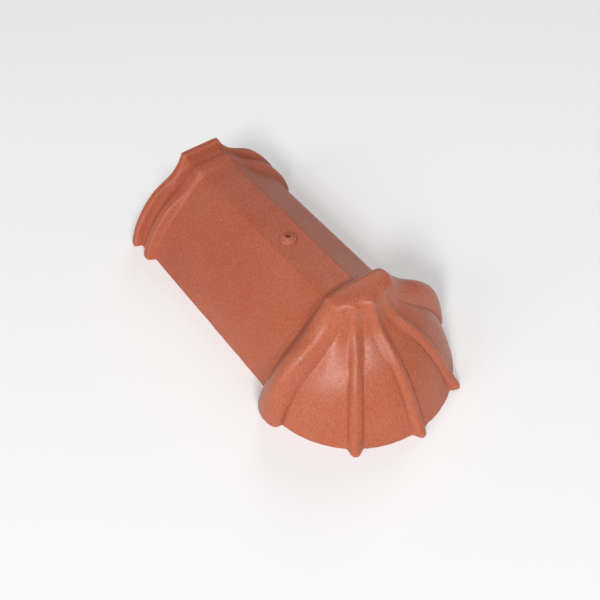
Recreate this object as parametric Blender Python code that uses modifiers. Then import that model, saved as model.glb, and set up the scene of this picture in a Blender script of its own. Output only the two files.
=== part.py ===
"""Ridge end tile of fired clay: a hollow ridge tile with a moulded collar at one end and, closing
the other, a ribbed shell behind a thick roll. Metres, +Z up, standing on its lower edges at z = 0.
The ridge runs along Y, with the collar towards +Y and the shell towards -Y."""

from math import acos, atan, atan2, cos, exp, pi, radians, sin, sqrt

import bmesh
import bpy
from mathutils import Vector

# Driving sizes: the whole tile
LENGTH = 0.450  # collar face to the tip of the middle rib
BODY_WIDTH = 0.209  # across the lower edges of the plain body
BODY_HEIGHT = 0.101  # top facet over the ground
WALL = 0.013  # clay thickness of the body and of the shell

# Driving sizes: the body's cross-section
TOP_WIDTH = 0.044  # flat facet along the top
FLANK_DROP = radians(42.4)  # fall of the flat flank below level
FLANK_LENGTH = 0.065  # flat part of the flank, before it curves down to the ground

# Driving sizes: the collar, as distances along Y from its face and heights over the body
FLANGE_END = 0.0076
GROOVE_START = 0.0122
GROOVE_END = 0.018
BEAD_START = 0.031
BEAD_END = 0.0375
COLLAR_END = 0.046
FLANGE_TOP = 0.0094
FLANGE_NECK = 0.0026
FLANGE_SIDE = 0.0108
GROOVE_TOP = 0.0004
GROOVE_SIDE = 0.0020
BEAD_TOP = 0.0034
BEAD_NECK = 0.0026
BEAD_SIDE = 0.0096

# Driving sizes: the roll across the foot of the shell
ROLL_CREST = 0.002  # its crest lies this far behind the shell's centre, on top
ROLL_BACK = 0.026  # from the shell's centre back to the body, on top
ROLL_FRONT = 0.024  # from the shell's centre forward to the valley in front of it, at the sides
BACK_SWEEP = 0.001  # how much further forward its back edge lies at the sides than on top
FRONT_SWEEP = 0.004  # and its front edge
CREST_SWEEP = 0.005  # and its crest, further than either edge
FRONT_BOW = 0.008  # how much further forward its front edge bows in the middle of the top
ROLL_TOP = 0.0350
ROLL_NECK = 0.0285
ROLL_SIDE = 0.0335
ROLL_FOOT = 0.0258

# Driving sizes: the shell and its ribs
SHELL_STEP_SIDE = 0.0155  # how far the shell stands out past the body, at the ground
SHELL_STEP_TOP = 0.0215  # and on top, where it leaves the roll
SHELL_STEP_NECK = 0.0135  # and in the valley below the corner of the top
SHELL_CROWN = 0.0945  # height that the shell's curve would reach at its centre
SHELL_POWER = 2.9  # higher makes a flatter crown and a steeper side
RIB_COUNT = 3
RIB_ANGLE = radians(36.4)  # between neighbouring ribs at the rim
RIB_WIDTH_TOP = 0.012
RIB_WIDTH_FOOT = 0.0168
RIB_MARGIN = 0.0065  # from an outer rib's edge to the corner of the top, at its upper end
RIB_RISE = 0.0050
RIB_FOOT = 0.010  # how far a rib's foot stands out past the rim
RIB_FOOT_HEIGHT = 0.026

# Driving sizes: the nail boss on the top facet, its widths as diameters
BOSS_FROM_COLLAR = 0.195
BOSS_BASE = 0.0225
BOSS_RIM = 0.0190
BOSS_LIP = 0.0095
BOSS_RIM_RISE = 0.0030
BOSS_RISE = 0.0050
HOLE_DIAMETER = 0.0070

# How finely the skins are divided
SIDE_STEPS = 18
PANEL_STEPS = 3
RIB_SECTION = (-1.0, -0.72, -0.36, 0.0, 0.36, 0.72, 1.0)
ROLL_STEPS = 8
FLANK_CROWDING = 1.15  # above 1, points crowd towards the crease
CORE_TOP_STEPS = 12
CORE_SIDE_STEPS = 12
CORE_ROLL_STEPS = 4
BOSS_STEPS = 32

# Shaping of the curves between the driving sizes
CORNER_LEAN = radians(25)  # a moulding's corner leans out by this over the crease
CREASE_REACH = 0.003  # rounding of the crease between the top and the flank
CORNER_REACH = 0.008  # how soon a moulding's raised corner falls to its neck
SWELL_START = 0.022  # where a moulding starts to swell, down the side from the crease
SWELL_LENGTH = 0.042
FOOT_START = 0.080  # where it starts to ease into its foot
SWEEP_LENGTH = 0.060  # how far down the side the roll's back edge has swept forward
LEVEL_HEIGHT = 0.030  # below this the outward direction turns level towards the ground
COVE = 2.5  # above 1, the roll's back rises out of the body in a cove
BOW_POWER = 3  # higher keeps the bow of the roll's front closer to its middle
SHOULDER_TOP = (3.5, 0.8)  # the roll's front on top: higher, higher make it fuller, and coved
SHOULDER_SIDE = (2.6, 1.0)  # and at the sides
ROOT_REACH = 0.010  # how soon the shell falls from the roll to its own curve
RIB_BLUNTNESS = 0.8  # below 1, a rib's section is fuller than a cosine
SHARP_ANGLE = radians(35)
PASS = 0.012  # how far a cutter runs past the face that it opens

# Derived places
HALF_TOP = TOP_WIDTH / 2
HALF_WIDTH = BODY_WIDTH / 2
COLLAR_Y = LENGTH / 2
SHELL_RADIUS = HALF_WIDTH + SHELL_STEP_SIDE
SHELL_Y = RIB_FOOT + SHELL_RADIUS - LENGTH / 2
VALLEY_SIDE = sqrt(SHELL_RADIUS**2 - ROLL_FRONT**2) - HALF_WIDTH
RIM_HALF_ANGLE = acos(ROLL_FRONT / SHELL_RADIUS)
BOSS_Y = COLLAR_Y - BOSS_FROM_COLLAR

CLAY_COLOUR = (0.42, 0.12, 0.065, 1.0)
CLAY_ROUGHNESS = 0.75


def mix(a, b, t):
    return a + (b - a) * t


def ease(t):
    """Smooth rise from 0 at t = 0 to 1 at t = 1."""
    t = min(max(t, 0.0), 1.0)
    return t * t * (3 - 2 * t)


# The body's section: a flat top, a flat flank, and an arc from the flank's end down to the ground
FLANK_WAY = Vector((cos(FLANK_DROP), -sin(FLANK_DROP)))
FLANK_END = Vector((HALF_TOP, BODY_HEIGHT)) + FLANK_LENGTH * FLANK_WAY
CHORD = Vector((HALF_WIDTH, 0.0)) - FLANK_END
ARC_TURN = 2 * (atan2(-CHORD.y, CHORD.x) - FLANK_DROP)
ARC_RADIUS = CHORD.length / (2 * sin(ARC_TURN / 2))
ARC_CENTRE = FLANK_END - ARC_RADIUS * Vector((sin(FLANK_DROP), cos(FLANK_DROP)))
SIDE_LENGTH = FLANK_LENGTH + ARC_RADIUS * ARC_TURN


def side_point(along):
    """Point of the section and its outward direction, at a distance along the side from the crease."""
    if along <= FLANK_LENGTH:
        slope = FLANK_DROP
        point = Vector((HALF_TOP, BODY_HEIGHT)) + along * FLANK_WAY
    else:
        slope = FLANK_DROP + (along - FLANK_LENGTH) / ARC_RADIUS
        point = ARC_CENTRE + ARC_RADIUS * Vector((sin(slope), cos(slope)))
    slope = mix(slope, CORNER_LEAN, exp(-along / CREASE_REACH))
    slope = mix(pi / 2, slope, ease(point.y / LEVEL_HEIGHT))
    return point, Vector((sin(slope), cos(slope)))


class Relief:
    """How far a ring stands off the body: on top, in the neck under the crease, at the side and at
    the foot."""

    def __init__(self, top, neck, side, foot):
        self.sizes = (top, neck, side, foot)
        self.top = top

    def at(self, along):
        top, neck, side, foot = self.sizes
        swell = mix(neck, side, ease((along - SWELL_START) / SWELL_LENGTH))
        swell = mix(swell, foot, ease((along - FOOT_START) / (SIDE_LENGTH - FOOT_START)))
        return swell + (top - neck) * exp(-along / CORNER_REACH)

    def towards(self, other, *rates):
        """Part of the way to another relief, at one rate or at one for each of its sizes."""
        rates = rates if len(rates) > 1 else 4 * rates
        return Relief(*(mix(a, b, rate) for a, b, rate in zip(self.sizes, other.sizes, rates)))


BODY = Relief(0.0, 0.0, 0.0, 0.0)
FLANGE = Relief(FLANGE_TOP, FLANGE_NECK, FLANGE_SIDE, FLANGE_SIDE)
GROOVE = Relief(GROOVE_TOP, GROOVE_TOP, GROOVE_SIDE, GROOVE_SIDE)
BEAD = Relief(BEAD_TOP, BEAD_NECK, BEAD_SIDE, BEAD_SIDE)
ROLL = Relief(ROLL_TOP, ROLL_NECK, ROLL_SIDE, ROLL_FOOT)
VALLEY = Relief(SHELL_STEP_TOP, SHELL_STEP_NECK, VALLEY_SIDE, VALLEY_SIDE)
INSIDE = Relief(-WALL, -WALL, -WALL, -WALL)
INSIDE_VALLEY = Relief(*(size - WALL for size in VALLEY.sizes))


def ring(y, relief, spread, side_steps, sweep=0.0):
    """Points across the tile at one Y, from the left lower edge over the top to the right one. The
    sides may sweep forward of the top."""
    right = []
    for i in range(side_steps + 1):
        along = SIDE_LENGTH * (i / side_steps) ** FLANK_CROWDING
        point, outward = side_point(along)
        rise = relief.top / outward.y if i == 0 else relief.at(along)
        point += outward * rise
        right.append(Vector((point.x, y - sweep * ease(along / SWEEP_LENGTH), point.y)))
    right[-1].z = 0.0
    corner = right[0]
    left = [Vector((-p.x, p.y, p.z)) for p in reversed(right)]
    top = [Vector((corner.x * share, y, corner.z)) for share in spread[1:-1]]
    return left + top + right


class Meridian:
    """One line down the shell: its start on top as a share of the facet, its angle at the rim, how
    high a rib stands there as a share of the rib's rise, and how far the line keeps to the shell's
    own curve instead of the valley's."""

    def __init__(self, share, angle, rib, roundness):
        self.share, self.angle, self.rib, self.roundness = share, angle, rib, roundness


def rib_profile(across):
    """Rounded height of a rib, across its half width from -1 to 1."""
    return cos(across * pi / 2) ** RIB_BLUNTNESS if abs(across) < 1 else 0.0


def shell_meridians(corner_x):
    """The ribs' meridians with the panels' between them, from the left valley to the right one."""
    middle = (RIB_COUNT - 1) / 2
    half_top = RIB_WIDTH_TOP / 2 / corner_x
    half_foot = RIB_WIDTH_FOOT / 2 / SHELL_RADIUS
    pitch = (1 - half_top - RIB_MARGIN / corner_x) / max(middle, 1)
    found = [Meridian(-1.0, -RIM_HALF_ANGLE, 0.0, 0.0)]
    for r in range(RIB_COUNT + 1):
        share, angle = (r - middle) * pitch, (r - middle) * RIB_ANGLE
        row = [
            Meridian(share + a * half_top, angle + a * half_foot, rib_profile(a), 1.0)
            for a in RIB_SECTION
        ]
        if r == RIB_COUNT:
            row = [Meridian(1.0, RIM_HALF_ANGLE, 0.0, 0.0)]
        before, after = found[-1], row[0]
        for step in range(1, PANEL_STEPS):
            t = step / PANEL_STEPS
            roundness = ease(mix(before.roundness, after.roundness, t))
            share, angle = mix(before.share, after.share, t), mix(before.angle, after.angle, t)
            found.append(Meridian(share, angle, 0.0, roundness))
        found += row
    return found


def plain_meridians(steps, half_angle):
    """Evenly spread meridians with no ribs, for the hollow."""
    found = []
    for step in range(steps + 1):
        share = mix(-1.0, 1.0, step / steps)
        found.append(Meridian(share, share * half_angle, 0.0, ease(steps / 4 * (1 - abs(share)))))
    return found


def bowed(share):
    """How far the front edge of the roll's top bows forward there, as a share of its bow."""
    return (1 - share**2) ** BOW_POWER


def shell_line(meridian, arch, wall, bow):
    """Points from the roll down to the rim: along the valley's own arch beside the roll, and along
    the shell's curve, a wall's thickness in for the hollow, elsewhere."""
    corner, foot = arch[0], arch[-1]
    radius, crown = SHELL_RADIUS - wall, SHELL_CROWN - wall
    start = Vector((corner.x * meridian.share, corner.y - SHELL_Y - bow * bowed(meridian.share)))
    end = radius * Vector((sin(meridian.angle), -cos(meridian.angle)))
    drop = corner.z - crown * (1 - (start.length / radius) ** SHELL_POWER)
    points = []
    for own in arch:
        place = start.lerp(end, (own.x - corner.x) / (foot.x - corner.x))
        reach = place.length / radius
        root = drop * exp(-(place - start).length / ROOT_REACH)
        z = mix(own.z, crown * (1 - reach**SHELL_POWER) + root, meridian.roundness)
        slope = atan(crown * SHELL_POWER * reach ** (SHELL_POWER - 1) / radius)
        outward = (place.normalized() * sin(slope)).to_3d()
        outward.z = cos(slope) * ease(z / LEVEL_HEIGHT)
        rise = mix(RIB_RISE, RIB_FOOT, ease(1 - z / RIB_FOOT_HEIGHT)) * meridian.rib
        points.append(Vector((place.x, SHELL_Y + place.y, z)) + outward.normalized() * rise)
    points[-1].z = 0.0
    return points


def lattice(rings, lines, skirt):
    """A closed mesh from the rings along the body and the lines down the shell. The skirt carries
    the lower edges straight down, for a cutter."""
    mesh = bmesh.new()
    rows = [[mesh.verts.new(p) for p in points] for points in rings]
    side = len(lines[0]) - 1
    last = rows[-1]
    fan = [list(reversed(last[: side + 1]))]
    for k, line in enumerate(lines[1:-1], start=1):
        fan.append([last[side + k]] + [mesh.verts.new(p) for p in line[1:]])
    fan.append(last[-side - 1 :])
    for grid in (rows, fan):
        for one, two in zip(grid, grid[1:]):
            for a, b, c, d in zip(one, one[1:], two[1:], two):
                mesh.faces.new((a, b, c, d))
    edge = [row[0] for row in rows] + [line[-1] for line in fan[1:-1]]
    edge += [row[-1] for row in reversed(rows)]
    end = rows[0]
    if skirt:
        low = [mesh.verts.new(v.co - Vector((0, 0, skirt))) for v in edge]
        for a, b, c, d in zip(edge, edge[1:], low[1:], low):
            mesh.faces.new((a, b, c, d))
        end = end + [low[-1], low[0]]
        edge = low
    bmesh.ops.triangulate(mesh, faces=mesh.faces)
    mesh.faces.new(end)
    mesh.faces.new(edge)
    bmesh.ops.recalc_face_normals(mesh, faces=mesh.faces)
    return mesh


def add_object(name, mesh, collection):
    data = bpy.data.meshes.new(name)
    mesh.to_mesh(data)
    mesh.free()
    obj = bpy.data.objects.new(name, data)
    collection.objects.link(obj)
    return obj


def boolean(target, tool, operation):
    modifier = target.modifiers.new(tool.name, "BOOLEAN")
    modifier.operation = operation
    modifier.object = tool


def collar_rings(spread):
    """The flange, the groove behind it and the bead, easing into the body."""
    knots = (
        (0.0, FLANGE, 1),
        (FLANGE_END, FLANGE, 3),
        (GROOVE_START, GROOVE, 1),
        (GROOVE_END, GROOVE, 4),
        (BEAD_START, BEAD, 1),
        (BEAD_END, BEAD, 4),
        (COLLAR_END, BODY, 1),
    )
    rings = []
    for (here, relief, steps), (there, following, _) in zip(knots, knots[1:]):
        for step in range(steps):
            t = step / steps
            between = relief.towards(following, ease(t))
            rings.append(ring(COLLAR_Y - mix(here, there, t), between, spread, SIDE_STEPS))
    rings.append(ring(COLLAR_Y - COLLAR_END, BODY, spread, SIDE_STEPS))
    return rings


def shoulder(out, shape):
    """Height left at a share of the way out from the crest to the valley."""
    return max(1 - out ** shape[0], 0.0) ** shape[1]


def roll_rings(meridians, spread):
    """Round up from the body to the crest, then down to the shell, with the ribs' upper ends rising
    out of the front."""
    front = ROLL_FRONT - FRONT_SWEEP
    rings = []
    turns = [pi / 2 * step / ROLL_STEPS for step in range(2 * ROLL_STEPS + 1)]
    for turn in turns:
        if turn <= pi / 2:
            up = sin(turn)
            relief = BODY.towards(ROLL, up**COVE, up**COVE, up**COVE, up)
            forward = mix(-ROLL_CREST, -ROLL_BACK, cos(turn))
            rib_share = 0.0
        else:
            out = -cos(turn)
            top, side = shoulder(out, SHOULDER_TOP), shoulder(out, SHOULDER_SIDE)
            relief = VALLEY.towards(ROLL, top, side, side, sin(turn))
            forward = mix(-ROLL_CREST, front, out)
            rib_share = ease(1 - top)
        sweep = mix(BACK_SWEEP, FRONT_SWEEP, (forward + ROLL_BACK) / (front + ROLL_BACK))
        sweep += CREST_SWEEP * sin(turn) ** 2
        bow = FRONT_BOW * ease(forward / front)
        points = ring(SHELL_Y - forward, relief, spread, SIDE_STEPS, sweep)
        for point, meridian in zip(points[SIDE_STEPS:], meridians):
            point.y -= bow * bowed(meridian.share)
            point.z += meridian.rib * RIB_RISE * rib_share
        rings.append(points)
    return rings


def outer_skin():
    corner_x = ring(0.0, VALLEY, (-1, 1), 1)[2].x
    meridians = shell_meridians(corner_x)
    spread = [m.share for m in meridians]
    rings = collar_rings(spread) + roll_rings(meridians, spread)
    arch = rings[-1][-SIDE_STEPS - 1 :]
    lines = [shell_line(m, arch, 0.0, FRONT_BOW) for m in meridians]
    return lattice(rings, lines, 0.0)


def hollow():
    """The space inside: the body's section and the shell, each a wall's thickness in, without the
    mouldings."""
    front = ROLL_FRONT - WALL
    meridians = plain_meridians(CORE_TOP_STEPS, acos(front / (SHELL_RADIUS - WALL)))
    spread = [m.share for m in meridians]
    rings = [ring(COLLAR_Y + PASS, INSIDE, spread, CORE_SIDE_STEPS)]
    for step in range(CORE_ROLL_STEPS + 1):
        t = step / CORE_ROLL_STEPS
        y = SHELL_Y + mix(ROLL_BACK, -front, t)
        rings.append(ring(y, INSIDE.towards(INSIDE_VALLEY, ease(t)), spread, CORE_SIDE_STEPS))
    arch = rings[-1][-CORE_SIDE_STEPS - 1 :]
    lines = [shell_line(m, arch, WALL, 0.0) for m in meridians]
    return lattice(rings, lines, PASS)


def turned_boss(collection):
    """The nail boss, turned about its own axis, from inside the wall up to its lip."""
    profile = (
        (0.0, BOSS_RISE),
        (BOSS_LIP / 2, BOSS_RISE),
        (BOSS_RIM / 2, BOSS_RIM_RISE),
        (BOSS_BASE / 2, 0.0),
        (BOSS_BASE / 2, -WALL / 2),
        (0.0, -WALL / 2),
    )
    mesh = bmesh.new()
    verts = [mesh.verts.new((x, 0.0, z)) for x, z in profile]
    for pair in zip(verts, verts[1:]):
        mesh.edges.new(pair)
    boss = add_object("boss", mesh, collection)
    boss.location = (0.0, BOSS_Y, BODY_HEIGHT)
    screw = boss.modifiers.new("turn", "SCREW")
    screw.steps = screw.render_steps = BOSS_STEPS
    screw.use_merge_vertices = True
    screw.merge_threshold = 0.00001
    return boss


def hole_cutter(collection):
    mesh = bmesh.new()
    bmesh.ops.create_cone(
        mesh,
        cap_ends=True,
        segments=BOSS_STEPS,
        radius1=HOLE_DIAMETER / 2,
        radius2=HOLE_DIAMETER / 2,
        depth=WALL + BOSS_RISE + 2 * PASS,
    )
    cutter = add_object("nail_hole", mesh, collection)
    cutter.location = (0.0, BOSS_Y, BODY_HEIGHT + (BOSS_RISE - WALL) / 2)
    return cutter


def clay():
    material = bpy.data.materials.new("fired_clay")
    material.use_nodes = True
    shader = material.node_tree.nodes["Principled BSDF"]
    shader.inputs["Base Color"].default_value = CLAY_COLOUR
    shader.inputs["Roughness"].default_value = CLAY_ROUGHNESS
    shader.inputs["Metallic"].default_value = 0.0
    return material


def new_collection(name):
    collection = bpy.data.collections.new(name)
    bpy.context.scene.collection.children.link(collection)
    return collection


def main():
    for obj in list(bpy.data.objects):
        bpy.data.objects.remove(obj)
    parts = new_collection("ridge_end_tile")
    helpers = new_collection("helpers")
    tile = add_object("ridge_end_tile", outer_skin(), parts)
    tile.data.materials.append(clay())
    core = add_object("hollow", hollow(), helpers)
    boss = turned_boss(helpers)
    hole = hole_cutter(helpers)
    for helper in (core, boss, hole):
        helper.hide_render = True
        helper.display_type = "WIRE"
    boolean(tile, core, "DIFFERENCE")
    boolean(tile, boss, "UNION")
    boolean(tile, hole, "DIFFERENCE")
    tile.data.shade_smooth()
    tile.data.set_sharp_from_angle(angle=SHARP_ANGLE)


main()
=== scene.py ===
"""Looks of the ridge end tile: one finely divided piece of fired clay with a satin slip, on a plain
pale floor in soft studio light. Metres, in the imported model's frame."""

from math import acos, atan, atan2, cos, exp, pi, radians, sin, sqrt

import bmesh
import bpy
from mathutils import Matrix, Vector, kdtree, noise


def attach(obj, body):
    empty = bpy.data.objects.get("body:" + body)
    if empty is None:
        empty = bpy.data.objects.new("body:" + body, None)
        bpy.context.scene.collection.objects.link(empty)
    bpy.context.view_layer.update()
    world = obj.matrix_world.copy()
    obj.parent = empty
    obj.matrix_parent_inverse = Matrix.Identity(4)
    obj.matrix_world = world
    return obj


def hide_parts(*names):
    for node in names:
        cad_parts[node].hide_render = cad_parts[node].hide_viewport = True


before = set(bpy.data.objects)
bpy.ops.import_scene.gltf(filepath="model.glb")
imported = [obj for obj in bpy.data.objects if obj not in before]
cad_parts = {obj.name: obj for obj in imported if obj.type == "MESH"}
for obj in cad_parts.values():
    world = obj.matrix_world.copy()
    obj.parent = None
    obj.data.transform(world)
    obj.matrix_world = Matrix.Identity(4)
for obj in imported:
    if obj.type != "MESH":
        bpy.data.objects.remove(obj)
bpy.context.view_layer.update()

NODE = "ridge_end_tile"

# The tile, with the same sizes as the solid
LENGTH = 0.450
BODY_WIDTH = 0.209
BODY_HEIGHT = 0.101
WALL = 0.013
TOP_WIDTH = 0.044
FLANK_DROP = radians(42.4)
FLANK_LENGTH = 0.065

# The collar, as distances from its face and heights over the body
FLANGE_END = 0.0076
GROOVE_START = 0.0122
GROOVE_END = 0.018
BEAD_START = 0.031
BEAD_END = 0.0375
COLLAR_END = 0.046
FLANGE_TOP = 0.0094
FLANGE_NECK = 0.0026
FLANGE_SIDE = 0.0108
GROOVE_TOP = 0.0004
GROOVE_SIDE = 0.0020
BEAD_TOP = 0.0034
BEAD_NECK = 0.0026
BEAD_SIDE = 0.0096

# The roll, and the small step on the body behind it
ROLL_CREST = 0.002
ROLL_BACK = 0.026
ROLL_FRONT = 0.024
BACK_SWEEP = 0.001
FRONT_SWEEP = 0.004
CREST_SWEEP = 0.005
FRONT_BOW = 0.008
BOW_POWER = 3  # the higher, the more the bow keeps to the middle
ROLL_TOP = 0.0350
ROLL_NECK = 0.0285
ROLL_SIDE = 0.0335
ROLL_FOOT = 0.0258
STEP_WIDTH = 0.0075
STEP_RISE = 0.0013
STEP_EDGE = 0.0012
STEP_FADE = 4  # the step is this many times lower at its foot

# The shell and its ribs
SHELL_STEP_SIDE = 0.0155
SHELL_STEP_TOP = 0.0215
SHELL_STEP_NECK = 0.0135
SHELL_CROWN = 0.0945
SHELL_POWER = 2.9
RIB_COUNT = 3
RIB_ANGLE = radians(36.4)
RIB_WIDTH_TOP = 0.012
RIB_WIDTH_FOOT = 0.0168
RIB_MARGIN = 0.0065
RIB_RISE = 0.0050
RIB_FOOT = 0.010
RIB_FOOT_HEIGHT = 0.026
RIB_GROOVE = 0.0004  # depth of the fine groove along each side of a rib
RIB_GROOVE_PLACE = 1.1  # from the rib's middle, in half widths of the rib, as are the next two
RIB_GROOVE_WIDTH = 0.13
RIB_REACH = 1.5  # where a rib's section ends

# The nail boss, its widths as diameters
BOSS_FROM_COLLAR = 0.195
BOSS_BASE = 0.0225
BOSS_RIM = 0.0200
BOSS_LIP = 0.0095
BOSS_RIM_RISE = 0.0030
BOSS_RISE = 0.0050
HOLE_DIAMETER = 0.0070
BOSS_DISH = 0.0001  # how much lower the lip's middle is than its crown
BOSS_CROWN = 0.0004  # how far out from the hole the crown lies

# Curves of the boss's section, as steps out and up: from the lip and the crown, from the rim and its
# top, from the rim and the body, and from the base and the body
LIP_CURVE = ((0.0, -0.0003), (0.0012, -0.0010), (0.0024, -0.0019))
RIM_CURVE = ((-0.0022, -0.0006), (-0.0012, -0.0005), (-0.0004, -0.0010), (0.0002, -0.0019))
MOAT_CURVE = ((0.0006, 0.0002), (0.0009, -0.0002))
BASE_CURVE = ((0.0, 0.0001), (0.0003, -0.0004))

# Rounding of the lower edges and of the collar's face
EDGE_ROUND = 0.0011

# How finely the skins are divided
SIDE_STEPS = 74
EDGE_STEPS = 5
PANEL_STEPS = 12
RIB_STEPS = 20
ROLL_STEPS = 26
STEP_ROWS = 14
COLLAR_STEP = 0.0009
BODY_STEP = 0.010
FLANK_CROWDING = 1.15
BOSS_STEPS = 96

# Shaping of the curves between the sizes
CORNER_LEAN = radians(25)
CREASE_REACH = 0.003
CORNER_REACH = 0.008
SWELL_START = 0.022
SWELL_LENGTH = 0.042
FOOT_START = 0.080
SWEEP_LENGTH = 0.060
LEVEL_HEIGHT = 0.030
COVE = 2.5
SHOULDER_TOP = (3.5, 0.8)
SHOULDER_SIDE = (2.6, 1.0)
BODY_SOFT = 0.2  # the body's crease is softest at the collar, and this soft near the roll
ROLL_SOFT = 0.4  # and this soft where the roll starts
ROLL_SOFTENING = 3  # full softness comes at one part in this many of the roll's depth
CREASE_DROP = (0.0008, 0.0024)  # rounding of the crease, on the body and on the roll
CREASE_WIDTH = (0.0022, 0.0065)
ROOT_REACH = 0.010
RIB_BLUNTNESS = 0.8
FOOT_WIDTH = 0.8  # of a rib's foot, in half widths of the rib
FOOT_POWER = 3
SHARE_LIMIT = 0.99  # how near to the facet's corners the outer ribs may start, as a share of it
SHARE_STEP = 0.001  # how far apart the meridians stay there
ROLL_FULLNESS = 0.7  # below 1, the roll's foot is fuller towards the valley
CRISP_START = 0.25  # a rib's sides turn from soft to crisp between these shares of the way down
CRISP_END = 0.6
SOFT_REACH = 0.011  # how far from its corner the roll is smoothed
SOFT_PASSES = 24
SOFT_FACTOR = 0.5
SOFT_START = 0.35  # rows before this share of the roll's depth aren't smoothed
SHARP_ANGLE = radians(38)  # edges sharper than this aren't shaded smooth

# Nicks along the lower edges
NICK_HEIGHT = 0.005
NICK_SCALE = 190.0
NICK_LEVEL = 0.15  # how high the noise has to be for a nick
NICK_DEPTH = 0.0022

# Reach over which a surface counts as hollow or raised, for the painted shade in hollows and the
# painted light on raised edges
HOLLOW_RADIUS = 0.0045

# The clay's colours, and between which places along the tile the slip turns deeper and matter
CLAY = (0.45, 0.110, 0.050)
CLAY_DEEP = (0.385, 0.076, 0.032)
# Dark colour for the speckle and for the painted shade in the hollows
CLAY_DARK_SPECKLE_AND_SHADE = (0.30, 0.062, 0.028)
# Pale colour for the clouds and the speckle, and for the painted light on raised edges
CLAY_PALE_TONE_AND_EDGE_LIGHT = (0.52, 0.175, 0.105)
DEEPER = (-0.06, 0.16)
MATTER = (-0.10, 0.0)

# The clay's patterns as scale, detail and roughness, with the values between which each counts and
# its largest share
CLOUDS = (11.0, 5.0, 0.6)
CLOUD_RANGE = (0.35, 0.65)
CLOUD_SHARE = 0.3
SPECKLE = (560.0, 3.0, 0.8)
DARK_RANGE = (0.48, 0.32)
DARK_SHARE = 0.95
PALE_RANGE = (0.52, 0.68)
PALE_SHARE = 0.85
# Painted shade: how hollow a surface must be to darken, and the largest share of dark
PAINTED_SHADE_RANGE = (0.04, 0.24)
PAINTED_SHADE_SHARE = 0.55
# Painted light: how raised an edge must be to pale, and the largest share of pale
PAINTED_EDGE_LIGHT_RANGE = (-0.05, -0.25)
PAINTED_EDGE_LIGHT_SHARE = 0.5

# Its sheen: pattern, roughness on the shell, and how much rougher the body is
SHEEN = (160.0, 4.0, 0.5)
SHEEN_RANGE = (0.3, 0.7)
SHELL_ROUGHNESS = (0.31, 0.41)
BODY_ROUGHER = 0.16
CLAY_IOR = 1.40

# Its bumps: pattern, then strength and depth
FINE = (620.0, 4.0, 0.65)
FINE_BUMP = (0.35, 0.0004)
BROAD = (45.0, 3.0, 0.5)
BROAD_BUMP = (0.5, 0.0012)

# The floor
FLOOR_HALF = 6.0
FLOOR_DROP = 0.0001  # keeps it clear of the lower edges that stand on it
FLOOR_COLOUR = (0.95, 0.95, 0.95, 1.0)
FLOOR_ROUGHNESS = 0.9

# The lights: name, direction from the tile, diameter and power
LIGHT_DISTANCE = 6.0
LIGHT_TARGET = Vector((0.0, -0.02, 0.05))
LIGHTS = (
    ("left_key", (-0.67, -0.46, 0.58), 1.4, 166.0),
    ("front_key", (-0.10, -0.60, 0.80), 1.4, 140.0),
    ("left_fill", (-0.90, 0.0, 0.45), 2.5, 62.0),
    ("back_fill", (0.60, 0.50, 0.60), 2.5, 54.0),
)
WORLD_STRENGTH = 0.2

# Derived places
HALF_TOP = TOP_WIDTH / 2
HALF_WIDTH = BODY_WIDTH / 2
COLLAR_Y = LENGTH / 2
SHELL_RADIUS = HALF_WIDTH + SHELL_STEP_SIDE
SHELL_Y = RIB_FOOT + SHELL_RADIUS - LENGTH / 2
VALLEY_SIDE = sqrt(SHELL_RADIUS**2 - ROLL_FRONT**2) - HALF_WIDTH
BOSS_Y = COLLAR_Y - BOSS_FROM_COLLAR
FLANK_WAY = Vector((cos(FLANK_DROP), -sin(FLANK_DROP)))
FLANK_END = Vector((HALF_TOP, BODY_HEIGHT)) + FLANK_LENGTH * FLANK_WAY
CHORD = Vector((HALF_WIDTH, 0.0)) - FLANK_END
ARC_TURN = 2 * (atan2(-CHORD.y, CHORD.x) - FLANK_DROP)
ARC_RADIUS = CHORD.length / (2 * sin(ARC_TURN / 2))
ARC_CENTRE = FLANK_END - ARC_RADIUS * Vector((sin(FLANK_DROP), cos(FLANK_DROP)))
SIDE_LENGTH = FLANK_LENGTH + ARC_RADIUS * ARC_TURN

# The camera, fitted to the photograph
CAMERA_PLACE = Vector((-0.39078, -0.51885, 0.79378))
CAMERA_AZIMUTH = radians(36.652)
CAMERA_ELEVATION = radians(50.044)
CAMERA_ROLL = radians(0.3425)
CAMERA_LENS = 49.71
SENSOR_WIDTH = 36.0
CLIP_START = 0.05
CLIP_END = 50.0


def mix(a, b, t):
    """The value at a share of the way from a to b."""
    return a + (b - a) * t


def ease(t):
    """A share from 0 to 1 that starts and ends gently."""
    t = min(max(t, 0.0), 1.0)
    return t * t * (3 - 2 * t)


def side_samples():
    """Distances down the side, closer together at the crease and round the lower edge."""
    last = SIDE_LENGTH - EDGE_ROUND / sin(FLANK_DROP + ARC_TURN)
    found = [last * (i / SIDE_STEPS) ** FLANK_CROWDING for i in range(SIDE_STEPS + 1)]
    for step in range(1, EDGE_STEPS + 1):
        found.append(mix(last, SIDE_LENGTH, sin(pi / 2 * step / EDGE_STEPS)))
    return found


SAMPLES = side_samples()


def side_point(along):
    """Point of the section and its outward direction, at a distance down the side from the
    crease."""
    if along <= FLANK_LENGTH:
        slope = FLANK_DROP
        point = Vector((HALF_TOP, BODY_HEIGHT)) + along * FLANK_WAY
    else:
        slope = FLANK_DROP + (along - FLANK_LENGTH) / ARC_RADIUS
        point = ARC_CENTRE + ARC_RADIUS * Vector((sin(slope), cos(slope)))
    slope = mix(slope, CORNER_LEAN, exp(-along / CREASE_REACH))
    slope = mix(pi / 2, slope, ease(point.y / LEVEL_HEIGHT))
    return point, Vector((sin(slope), cos(slope)))


SIDE = [side_point(along) for along in SAMPLES]


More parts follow.
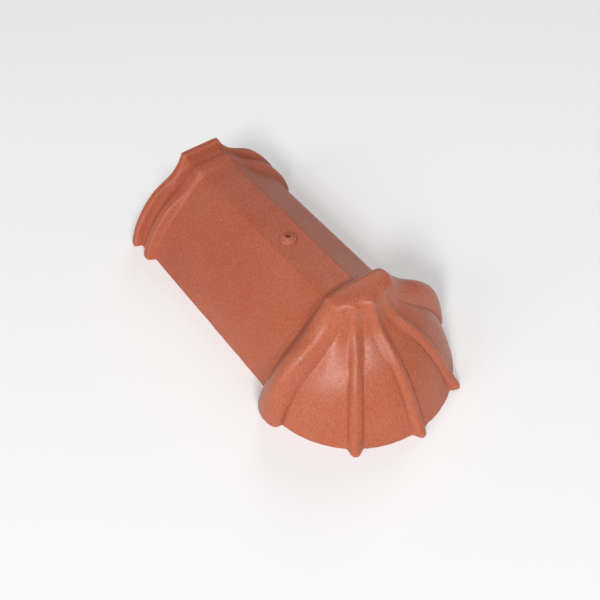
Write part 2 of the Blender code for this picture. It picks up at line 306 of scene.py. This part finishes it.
class Relief:
    """How far a ring stands off the body: on top, in the neck under the crease, at the side and at
    the foot."""

    def __init__(self, top, neck, side, foot):
        self.sizes = (top, neck, side, foot)
        self.top = top

    def at(self, along):
        """The relief at a distance along the side from the crease."""
        top, neck, side, foot = self.sizes
        swell = mix(neck, side, ease((along - SWELL_START) / SWELL_LENGTH))
        swell = mix(swell, foot, ease((along - FOOT_START) / (SIDE_LENGTH - FOOT_START)))
        return swell + (top - neck) * exp(-along / CORNER_REACH)

    def towards(self, other, *rates):
        """This relief mixed with another, by one rate or by a rate for each size."""
        rates = rates if len(rates) > 1 else 4 * rates
        return Relief(*(mix(a, b, rate) for a, b, rate in zip(self.sizes, other.sizes, rates)))

    def lower(self, depth):
        """This relief, lower by one depth all round."""
        return Relief(*(size - depth for size in self.sizes))


BODY = Relief(0.0, 0.0, 0.0, 0.0)
FLANGE = Relief(FLANGE_TOP, FLANGE_NECK, FLANGE_SIDE, FLANGE_SIDE)
GROOVE = Relief(GROOVE_TOP, GROOVE_TOP, GROOVE_SIDE, GROOVE_SIDE)
BEAD = Relief(BEAD_TOP, BEAD_NECK, BEAD_SIDE, BEAD_SIDE)
STEP = Relief(STEP_RISE, STEP_RISE, STEP_RISE, STEP_RISE / STEP_FADE)
ROLL = Relief(ROLL_TOP, ROLL_NECK, ROLL_SIDE, ROLL_FOOT)
VALLEY = Relief(SHELL_STEP_TOP, SHELL_STEP_NECK, VALLEY_SIDE, VALLEY_SIDE)


def tucked(z):
    """How far the rounding of the lower edge draws a point in."""
    if z >= EDGE_ROUND:
        return 0.0
    return EDGE_ROUND - sqrt(EDGE_ROUND**2 - (EDGE_ROUND - max(z, 0.0)) ** 2)


def bowed(share):
    """How far the front of the roll's top bows forward, across the top, as a share of the bow."""
    return (1 - share**2) ** BOW_POWER


class Row:
    """One ring across the tile: where it lies, its relief, how far it sweeps forward at the sides,
    how much of the ribs it has, where the ring inside it lies, how far on it is from the body to
    the shell, how soft its crease is, and how far it bows."""

    def __init__(self, y, relief, sweep=0.0, rib=0.0, inside_y=None, shell=0.0, soft=0.0, bow=0.0):
        self.y, self.relief, self.sweep, self.rib = y, relief, sweep, rib
        self.inside_y = y if inside_y is None else inside_y
        self.shell, self.soft, self.bow = shell, soft, bow

    def outer(self, meridians):
        """The ring's points on the outer skin."""
        points = ring(self.y, self.relief, meridians, self.sweep, 1.0, self.soft)
        for point, meridian in zip(points[len(SAMPLES) - 1 :], meridians):
            point.y -= bowed(meridian.share) * self.bow
            point.z += meridian.rib(0.0) * RIB_RISE * self.rib
        return points

    def inner(self, meridians):
        """The ring's points on the inner skin."""
        relief = BODY.lower(WALL).towards(VALLEY.lower(WALL), ease(self.shell))
        return ring(self.inside_y, relief, meridians, 0.0, 0.0, 0.0)


def ring(y, relief, meridians, sweep, rounding, soft):
    """Points across the tile at one Y, from the left lower edge over the top to the right one. The
    crease is rounded, more where the ring is soft."""
    drop, width = mix(*CREASE_DROP, soft) * rounding, mix(*CREASE_WIDTH, soft)
    right = []
    for along, (point, outward) in zip(SAMPLES, SIDE):
        rise = relief.top / outward.y if along == 0 else relief.at(along)
        place = point + outward * rise
        place.x -= tucked(place.y) * rounding
        low = drop * exp(-along / width)
        right.append(Vector((place.x, y - sweep * ease(along / SWEEP_LENGTH), place.y - low)))
    right[-1].z = 0.0
    corner = right[0]
    left = [Vector((-p.x, p.y, p.z)) for p in reversed(right)]
    top = []
    for share in [m.share for m in meridians[1:-1]]:
        low = drop * (exp(-corner.x * (1 - abs(share)) / width) - 1)
        top.append(Vector((corner.x * share, y, corner.z - low)))
    return left + top + right


class Meridian:
    """One line down the shell: its start on top as a share of the facet, its angle at the rim, its
    place across a rib in half widths, if it lies on one, and how far it keeps to the shell's own
    curve."""

    def __init__(self, share, angle, across, roundness):
        self.share, self.angle, self.across, self.roundness = share, angle, across, roundness

    def rib(self, down, foot=0.0):
        """Height of the rib as a share of its rise. Its sides are soft at its upper end, and crisp,
        with a fine groove along each, further down."""
        across = abs(self.across)
        if across >= RIB_REACH:
            return 0.0
        soft = cos(across / RIB_REACH * pi / 2) ** 2
        crisp = cos(across * pi / 2) ** RIB_BLUNTNESS if across < 1 else 0.0
        beside = (across - RIB_GROOVE_PLACE) / RIB_GROOVE_WIDTH
        crisp -= RIB_GROOVE / RIB_RISE * exp(-(beside**2))
        section = mix(soft, crisp, ease((down - CRISP_START) / (CRISP_END - CRISP_START)))
        return mix(section, exp(-((across / FOOT_WIDTH) ** FOOT_POWER)), foot)


def shell_meridians(corner_x, half_angle):
    """The ribs' meridians with the panels' between them, from the left valley to the right one."""
    middle = (RIB_COUNT - 1) / 2
    half_top = RIB_WIDTH_TOP / 2 / corner_x
    half_foot = RIB_WIDTH_FOOT / 2 / SHELL_RADIUS
    pitch = (1 - half_top - RIB_MARGIN / corner_x) / max(middle, 1)
    found = [Meridian(-1.0, -half_angle, RIB_REACH, 0.0)]
    for r in range(RIB_COUNT + 1):
        share, angle = (r - middle) * pitch, (r - middle) * RIB_ANGLE
        across = [RIB_REACH * (2 * i / RIB_STEPS - 1) for i in range(RIB_STEPS + 1)]
        row = [
            Meridian(share + a * half_top, angle + a * half_foot, a, 1.0)
            for a in across
        ]
        if r == 0:
            for index, meridian in enumerate(row):
                limit = -SHARE_LIMIT + SHARE_STEP * index
                meridian.share = max(meridian.share, limit)
        if r == RIB_COUNT - 1:
            for index, meridian in enumerate(row):
                limit = SHARE_LIMIT - SHARE_STEP * (RIB_STEPS - index)
                meridian.share = min(meridian.share, limit)
        if r == RIB_COUNT:
            row = [Meridian(1.0, half_angle, RIB_REACH, 0.0)]
        before, after = found[-1], row[0]
        for step in range(1, PANEL_STEPS):
            t = step / PANEL_STEPS
            roundness = ease(mix(before.roundness, after.roundness, t))
            share, angle = mix(before.share, after.share, t), mix(before.angle, after.angle, t)
            found.append(Meridian(share, angle, RIB_REACH, roundness))
        found += row
    return found


def shell_line(meridian, arch, wall):
    """Points from the roll down to the rim."""
    corner, foot = arch[0], arch[-1]
    radius, crown = SHELL_RADIUS - wall, SHELL_CROWN - wall
    outside = 1.0 if wall == 0.0 else 0.0
    bow = FRONT_BOW * bowed(meridian.share) * outside
    start = Vector((corner.x * meridian.share, corner.y - SHELL_Y - bow))
    turn = acos((ROLL_FRONT - wall) / radius) / acos(ROLL_FRONT / SHELL_RADIUS)
    end = radius * Vector((sin(meridian.angle * turn), -cos(meridian.angle * turn)))
    drop = corner.z - crown * (1 - (start.length / radius) ** SHELL_POWER)
    points = []
    for own in arch:
        reached = own.x + tucked(own.z) * outside - corner.x
        share = reached / (foot.x + EDGE_ROUND * outside - corner.x)
        place = start.lerp(end, share)
        reach = place.length / radius
        root = drop * exp(-(place - start).length / ROOT_REACH)
        z = mix(own.z, max(crown * (1 - reach**SHELL_POWER) + root, 0.0), meridian.roundness)
        slope = atan(crown * SHELL_POWER * reach ** (SHELL_POWER - 1) / radius)
        radial = place.normalized()
        outward = (radial * sin(slope)).to_3d()
        outward.z = cos(slope) * ease(z / LEVEL_HEIGHT)
        foot_share = ease(1 - z / RIB_FOOT_HEIGHT)
        rise = mix(RIB_RISE, RIB_FOOT, foot_share) * meridian.rib(share, foot_share) * outside
        point = Vector((place.x, SHELL_Y + place.y, z)) + outward.normalized() * rise
        point -= (radial * tucked(point.z) * outside).to_3d()
        points.append(point)
    points[-1].z = 0.0
    return points


def collar_rows():
    """The rounded face, the flange, the groove behind it and the bead, easing into the body."""
    rows = []
    for step in range(EDGE_STEPS):
        turn = pi / 2 * (1 - step / EDGE_STEPS)
        back, low = EDGE_ROUND * (1 - sin(turn)), EDGE_ROUND * (1 - cos(turn))
        rows.append(Row(COLLAR_Y - back, FLANGE.lower(low)))
    knots = (
        (EDGE_ROUND, FLANGE),
        (FLANGE_END, FLANGE),
        (GROOVE_START, GROOVE),
        (GROOVE_END, GROOVE),
        (BEAD_START, BEAD),
        (BEAD_END, BEAD),
        (COLLAR_END, BODY),
    )
    for (here, relief), (there, following) in zip(knots, knots[1:]):
        steps = max(2, round((there - here) / COLLAR_STEP))
        for step in range(steps):
            t = step / steps
            y, between = COLLAR_Y - mix(here, there, t), relief.towards(following, ease(t))
            soft = ease((COLLAR_Y - y - BEAD_END) / (COLLAR_END - BEAD_END))
            rows.append(Row(y, between, soft=soft))
    return rows


def body_rows():
    """The plain body, and the low step on it behind the roll."""
    start, end = COLLAR_Y - COLLAR_END, SHELL_Y + ROLL_BACK + STEP_WIDTH
    steps = round((start - end) / BODY_STEP)
    rows = []
    for step in range(steps + 1):
        y = mix(start, end, step / steps)
        soft = mix(1.0, BODY_SOFT, ease(2 * step / steps))
        rows.append(Row(y, BODY, BACK_SWEEP * ease(step / steps), soft=soft))
    for step in range(1, STEP_ROWS + 1):
        across = STEP_WIDTH * step / STEP_ROWS
        height = ease(across / STEP_EDGE)
        soft = mix(BODY_SOFT, ROLL_SOFT, ease(step / STEP_ROWS))
        rows.append(Row(end - across, BODY.towards(STEP, height), BACK_SWEEP, soft=soft))
    return rows[:-1]


def shoulder(out, shape):
    """Height left at a share of the way out from the crest to the valley."""
    return max(1 - out ** shape[0], 0.0) ** shape[1]


def roll_rows():
    """Round up from the body to the crest, then down to the shell."""
    front = ROLL_FRONT - FRONT_SWEEP
    rows = []
    for step in range(2 * ROLL_STEPS + 1):
        turn = pi / 2 * step / ROLL_STEPS
        if turn <= pi / 2:
            up = sin(turn)
            relief = STEP.towards(ROLL, up**COVE, up**COVE, up**COVE, up)
            forward = mix(-ROLL_CREST, -ROLL_BACK, cos(turn))
            rib = 0.0
        else:
            out = -cos(turn)
            top, side = shoulder(out, SHOULDER_TOP), shoulder(out, SHOULDER_SIDE)
            relief = VALLEY.towards(ROLL, top, side, side, max(sin(turn), 0.0) ** ROLL_FULLNESS)
            forward = mix(-ROLL_CREST, front, out)
            rib = ease(1 - top)
        done = (forward + ROLL_BACK) / (front + ROLL_BACK)
        inside_y = SHELL_Y + mix(ROLL_BACK, WALL - ROLL_FRONT, done)
        sweep = mix(BACK_SWEEP, FRONT_SWEEP, done) + CREST_SWEEP * sin(turn) ** 2
        soft = mix(ROLL_SOFT, 1.0, ease(done * ROLL_SOFTENING))
        bow = FRONT_BOW * ease(forward / front)
        rows.append(Row(SHELL_Y - forward, relief, sweep, rib, inside_y, done, soft, bow))
    return rows


def grid_faces(mesh, grid, flip):
    """Faces between the neighbouring rows of a grid."""
    for one, two in zip(grid, grid[1:]):
        for a, b, c, d in zip(one, one[1:], two[1:], two):
            mesh.faces.new((d, c, b, a) if flip else (a, b, c, d))


def add_skin(mesh, rings, lines, flip):
    """The grid along the body and the fan over the shell. Gives back the rim's loop and the first
    ring."""
    rows = [[mesh.verts.new(p) for p in points] for points in rings]
    side = len(SAMPLES) - 1
    last = rows[-1]
    fan = [list(reversed(last[: side + 1]))]
    for k, line in enumerate(lines[1:-1], start=1):
        fan.append([last[side + k]] + [mesh.verts.new(p) for p in line[1:]])
    fan.append(last[-side - 1 :])
    grid_faces(mesh, rows, flip)
    grid_faces(mesh, fan, flip)
    rim = [row[0] for row in rows] + [line[-1] for line in fan[1:-1]]
    rim += [row[-1] for row in reversed(rows)]
    return rim, rows[0]


def soften(mesh, places, reach, passes):
    """Smooths the mesh round some places, most at the places themselves."""
    tree = kdtree.KDTree(len(places))
    for index, place in enumerate(places):
        tree.insert(place, index)
    tree.balance()
    away = [(tree.find(v.co)[2], v) for v in mesh.verts]
    for step in range(passes):
        near = [v for distance, v in away if distance < reach * (1 - step / passes)]
        bmesh.ops.smooth_vert(
            mesh, verts=near, factor=SOFT_FACTOR, use_axis_x=True, use_axis_y=True, use_axis_z=True
        )


def tile_mesh():
    """The whole tile but for its boss: the outer skin, the inner one, and the strips between
    them."""
    half_angle = acos(ROLL_FRONT / SHELL_RADIUS)
    corner_x = HALF_TOP + SHELL_STEP_TOP * sin(CORNER_LEAN) / cos(CORNER_LEAN)
    meridians = shell_meridians(corner_x, half_angle)
    rows = collar_rows() + body_rows() + roll_rows()
    mesh = bmesh.new()
    edges = []
    for wall, flip in ((0.0, False), (WALL, True)):
        if wall:
            rings = [row.inner(meridians) for row in rows]
        else:
            rings = [row.outer(meridians) for row in rows]
        arch = rings[-1][-len(SAMPLES) :]
        lines = [shell_line(m, arch, wall) for m in meridians]
        edges.append(add_skin(mesh, rings, lines, flip))
    for outer, inner in zip(*edges):
        grid_faces(mesh, (outer, inner), False)
    corners = []
    for row in rows:
        if row.shell > SOFT_START:
            points = row.outer(meridians)
            corners += [points[len(SAMPLES) - 1], points[-len(SAMPLES)]]
    soften(mesh, corners, SOFT_REACH, SOFT_PASSES)
    bmesh.ops.recalc_face_normals(mesh, faces=mesh.faces)
    mesh.normal_update()
    nick_edges(mesh)
    return mesh


def nick_edges(mesh):
    """Small worn nicks along the outer lower edges."""
    for v in mesh.verts:
        if v.co.z < NICK_HEIGHT:
            low = 1 - v.co.z / NICK_HEIGHT
            depth = max(noise.noise(v.co * NICK_SCALE) - NICK_LEVEL, 0.0) * NICK_DEPTH
            v.co -= v.normal * depth * low


def add_object(name, mesh, location=(0, 0, 0)):
    """A new object in the scene, made from a mesh that isn't needed any more."""
    data = bpy.data.meshes.new(name)
    mesh.to_mesh(data)
    mesh.free()
    obj = bpy.data.objects.new(name, data)
    obj.location = location
    bpy.context.scene.collection.objects.link(obj)
    return obj


def turned(name, profile, location):
    """A closed form of revolution from (radius, height) points, both ends on the axis."""
    mesh = bmesh.new()
    rings = []
    for radius, height in profile:
        if radius == 0.0:
            rings.append([mesh.verts.new((0, 0, height))])
            continue
        turns = [2 * pi * i / BOSS_STEPS for i in range(BOSS_STEPS)]
        rings.append([mesh.verts.new((radius * cos(t), radius * sin(t), height)) for t in turns])
    for one, two in zip(rings, rings[1:]):
        for i in range(BOSS_STEPS):
            j = (i + 1) % BOSS_STEPS
            corners = [one[i % len(one)], one[j % len(one)], two[j % len(two)], two[i % len(two)]]
            mesh.faces.new(list(dict.fromkeys(corners)))
    bmesh.ops.recalc_face_normals(mesh, faces=mesh.faces)
    return add_object(name, mesh, location)


def boss_profile():
    """From the top of the nail hole's lip, over the dished rim, and down into the wall."""
    crown, lip, rim, base = BOSS_RISE, BOSS_LIP / 2, BOSS_RIM / 2, BOSS_BASE / 2
    points = [(0.0, crown - BOSS_DISH), (HOLE_DIAMETER / 2 + BOSS_CROWN, crown)]
    points += [(lip + out, crown + up) for out, up in LIP_CURVE]
    points += [(rim + out, BOSS_RIM_RISE + up) for out, up in RIM_CURVE]
    points += [(rim + out, up) for out, up in MOAT_CURVE]
    points += [(base + out, up) for out, up in BASE_CURVE]
    return points + [(base, -WALL / 2), (0.0, -WALL / 2)]


def apply_boolean(target, tool, operation):
    """Joins the tool to the target, or cuts it from it, and deletes the tool."""
    modifier = target.modifiers.new(tool.name, "BOOLEAN")
    modifier.operation = operation
    modifier.solver = "EXACT"
    modifier.object = tool
    depsgraph = bpy.context.evaluated_depsgraph_get()
    data = bpy.data.meshes.new_from_object(target.evaluated_get(depsgraph))
    target.modifiers.clear()
    target.data = data
    bpy.data.objects.remove(tool)


def make_tile():
    """The whole tile, with its boss and nail hole."""
    tile = add_object("clay_ridge_end_tile", tile_mesh())
    top = Vector((0.0, BOSS_Y, BODY_HEIGHT))
    apply_boolean(tile, turned("boss", boss_profile(), top), "UNION")
    radius, low, high = HOLE_DIAMETER / 2, -2 * WALL, 2 * BOSS_RISE
    bore = turned("nail_hole", ((0.0, high), (radius, high), (radius, low), (0.0, low)), top)
    apply_boolean(tile, bore, "DIFFERENCE")
    tile.data.name = "clay_ridge_end_tile"
    tile.data.shade_smooth()
    tile.data.set_sharp_from_angle(angle=SHARP_ANGLE)
    return tile


def mark_hollows(tile):
    """Keeps, for each point, how hollow the surface is there: above 0 in grooves, below 0 on
    edges. The clay uses it to paint shade into the grooves and light onto the edges."""
    verts = tile.data.vertices
    tree = kdtree.KDTree(len(verts))
    for v in verts:
        tree.insert(v.co, v.index)
    tree.balance()
    values = []
    for v in verts:
        near = [co for co, _, _ in tree.find_range(v.co, HOLLOW_RADIUS)]
        middle = sum(near, Vector()) / len(near)
        values.append((middle - v.co).dot(v.normal) / HOLLOW_RADIUS)
    attribute = tile.data.attributes.new("hollow", "FLOAT", "POINT")
    attribute.data.foreach_set("value", values)


class Nodes:
    """Short names for building a material's nodes."""

    def __init__(self, name):
        self.material = bpy.data.materials.new(name)
        self.material.use_nodes = True
        self.tree = self.material.node_tree
        self.shader = self.tree.nodes["Principled BSDF"]
        self.place = self.tree.nodes.new("ShaderNodeTexCoord").outputs["Object"]

    def add(self, kind, **settings):
        node = self.tree.nodes.new(kind)
        for key, value in settings.items():
            setattr(node, key, value)
        return node

    def link(self, source, target):
        self.tree.links.new(source, target)

    def noise(self, scale, detail, roughness):
        node = self.add("ShaderNodeTexNoise")
        node.inputs["Scale"].default_value = scale
        node.inputs["Detail"].default_value = detail
        node.inputs["Roughness"].default_value = roughness
        self.link(self.place, node.inputs["Vector"])
        return node.outputs["Fac"]

    def spread(self, source, between, low, high):
        """A value that goes from low to high while the source goes between two values."""
        node = self.add("ShaderNodeMapRange")
        node.inputs["From Min"].default_value, node.inputs["From Max"].default_value = between
        node.inputs["To Min"].default_value = low
        node.inputs["To Max"].default_value = high
        self.link(source, node.inputs["Value"])
        return node.outputs["Result"]

    def blend(self, share, one, two):
        """One colour mixed towards another by a share."""
        node = self.add("ShaderNodeMix", data_type="RGBA")
        for source, target in ((share, 0), (one, 6), (two, 7)):
            if isinstance(source, tuple):
                node.inputs[target].default_value = (*source, 1.0)
            else:
                self.link(source, node.inputs[target])
        return node.outputs[2]

    def total(self, one, two):
        node = self.add("ShaderNodeMath", operation="ADD")
        self.link(one, node.inputs[0])
        self.link(two, node.inputs[1])
        return node.outputs["Value"]

    def bump(self, height, strength, depth):
        node = self.add("ShaderNodeBump")
        node.inputs["Strength"].default_value = strength
        node.inputs["Distance"].default_value = depth
        self.link(height, node.inputs["Height"])
        return node


def clay():
    """Satin slip over fired clay: broad clouds of tone, fine speckle, painted shade darkening the
    hollows, painted light paling the raised edges, and a matter and deeper body than shell."""
    n = Nodes("clay_slip")
    clouds = n.spread(n.noise(*CLOUDS), CLOUD_RANGE, 0.0, CLOUD_SHARE)
    split = n.add("ShaderNodeSeparateXYZ")
    n.link(n.place, split.inputs["Vector"])
    along = split.outputs["Y"]
    ground = n.blend(n.spread(along, DEEPER, 0.0, 1.0), CLAY, CLAY_DEEP)
    colour = n.blend(clouds, ground, CLAY_PALE_TONE_AND_EDGE_LIGHT)
    grain = n.noise(*SPECKLE)
    colour = n.blend(n.spread(grain, DARK_RANGE, 0.0, DARK_SHARE), colour, CLAY_DARK_SPECKLE_AND_SHADE)
    colour = n.blend(n.spread(grain, PALE_RANGE, 0.0, PALE_SHARE), colour, CLAY_PALE_TONE_AND_EDGE_LIGHT)
    hollow = n.add("ShaderNodeAttribute", attribute_name="hollow").outputs["Fac"]
    # Painted shade: darker in the hollows, where shade falls
    colour = n.blend(n.spread(hollow, PAINTED_SHADE_RANGE, 0.0, PAINTED_SHADE_SHARE), colour, CLAY_DARK_SPECKLE_AND_SHADE)
    # Painted light: paler on the raised edges, where light catches them
    colour = n.blend(n.spread(hollow, PAINTED_EDGE_LIGHT_RANGE, 0.0, PAINTED_EDGE_LIGHT_SHARE), colour, CLAY_PALE_TONE_AND_EDGE_LIGHT)
    n.link(colour, n.shader.inputs["Base Color"])
    sheen = n.spread(n.noise(*SHEEN), SHEEN_RANGE, *SHELL_ROUGHNESS)
    rougher = n.spread(along, MATTER, 0.0, BODY_ROUGHER)
    n.link(n.total(sheen, rougher), n.shader.inputs["Roughness"])
    n.shader.inputs["IOR"].default_value = CLAY_IOR
    fine = n.bump(n.noise(*FINE), *FINE_BUMP)
    broad = n.bump(n.noise(*BROAD), *BROAD_BUMP)
    n.link(fine.outputs["Normal"], broad.inputs["Normal"])
    n.link(broad.outputs["Normal"], n.shader.inputs["Normal"])
    return n.material


def floor_material():
    """A plain, matt, pale floor."""
    n = Nodes("pale_floor")
    n.shader.inputs["Base Color"].default_value = FLOOR_COLOUR
    n.shader.inputs["Roughness"].default_value = FLOOR_ROUGHNESS
    return n.material


def make_floor():
    """The floor under the tile."""
    mesh = bmesh.new()
    bmesh.ops.create_grid(mesh, x_segments=1, y_segments=1, size=FLOOR_HALF)
    floor = add_object("floor", mesh, (0.0, 0.0, -FLOOR_DROP))
    floor.data.materials.append(floor_material())


def add_softbox(name, way, size, power):
    """A round, soft light that stands in one direction from the tile."""
    light = bpy.data.lights.new(name, "AREA")
    light.shape = "DISK"
    light.size = size
    light.energy = power
    obj = bpy.data.objects.new(name, light)
    way = Vector(way).normalized()
    obj.location = LIGHT_TARGET + LIGHT_DISTANCE * way
    obj.rotation_mode = "QUATERNION"
    obj.rotation_quaternion = way.to_track_quat("Z", "Y")
    bpy.context.scene.collection.objects.link(obj)


def light_studio():
    """The soft lights and an even, dim surround."""
    world = bpy.data.worlds.new("studio")
    bpy.context.scene.world = world
    world.use_nodes = True
    background = world.node_tree.nodes["Background"]
    background.inputs["Color"].default_value = (1.0, 1.0, 1.0, 1.0)
    background.inputs["Strength"].default_value = WORLD_STRENGTH
    for light in LIGHTS:
        add_softbox(*light)
    bpy.context.scene.view_settings.view_transform = "Standard"


def make_camera():
    """The camera, at its place and turned as its azimuth, elevation and roll say."""
    data = bpy.data.cameras.new("camera")
    data.lens = CAMERA_LENS
    data.sensor_width = SENSOR_WIDTH
    data.clip_start = CLIP_START
    data.clip_end = CLIP_END
    camera = bpy.data.objects.new("camera", data)
    aside, ahead, level = sin(CAMERA_AZIMUTH), cos(CAMERA_AZIMUTH), cos(CAMERA_ELEVATION)
    back = Vector((-aside * level, -ahead * level, sin(CAMERA_ELEVATION)))
    right = Matrix.Rotation(CAMERA_ROLL, 3, back) @ Vector((ahead, -aside, 0.0))
    up = back.cross(right)
    axes = Matrix((right, up, back)).transposed()
    camera.matrix_world = Matrix.Translation(CAMERA_PLACE) @ axes.to_4x4()
    bpy.context.scene.collection.objects.link(camera)
    bpy.context.scene.camera = camera


def main():
    make_camera()
    tile = make_tile()
    mark_hollows(tile)
    tile.data.materials.clear()
    tile.data.materials.append(clay())
    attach(tile, "root")
    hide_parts(NODE)
    make_floor()
    light_studio()


main()
